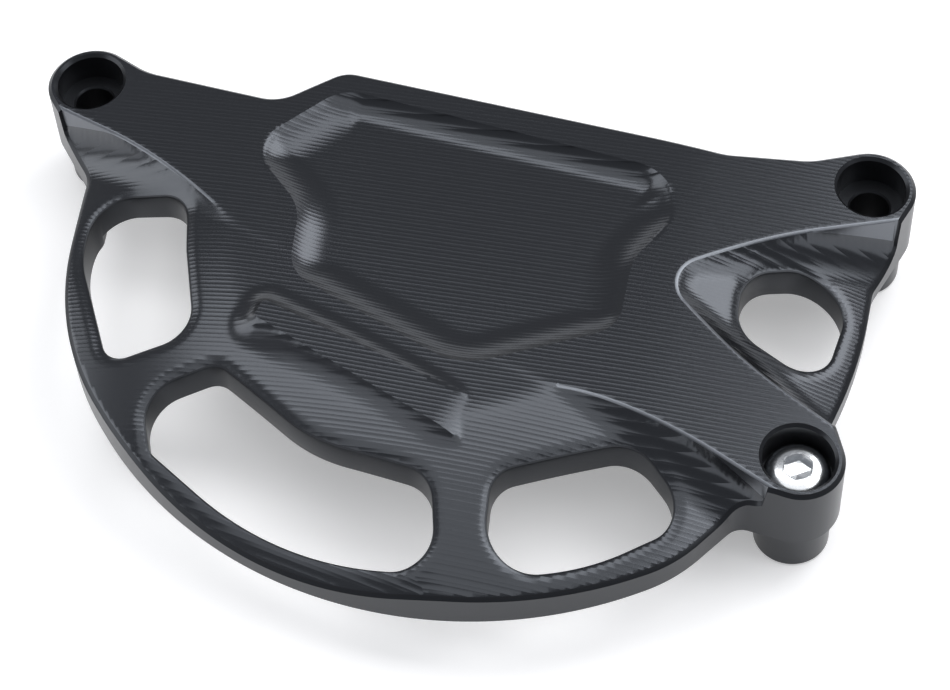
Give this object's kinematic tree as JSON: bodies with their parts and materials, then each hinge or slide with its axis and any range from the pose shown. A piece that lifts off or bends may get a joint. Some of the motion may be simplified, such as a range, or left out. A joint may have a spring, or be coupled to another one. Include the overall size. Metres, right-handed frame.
{
  "type": "alternator cover guard",
  "caption": "Billet aluminium guard for a motorbike alternator cover, black anodised, with bolt bosses, a windowed domed web, a raised wing and a button head screw in the lower boss.",
  "frame": {"origin": "axis of bolt hole A (upper left seen from outside) on the plane of the three spigot feet", "axes": "+Z out of the engine along the bolts, +X from bolt hole A to bolt hole B"},
  "size_m": [0.143, 0.0895, 0.0264],
  "materials": {
    "anodised": "black anodised, satin, with fine milling lines",
    "zinc": "bright zinc plated steel"
  },
  "bodies": {
    "root": {"guard_body": "anodised", "cover_screw": "zinc"}
  },
  "joints": []
}
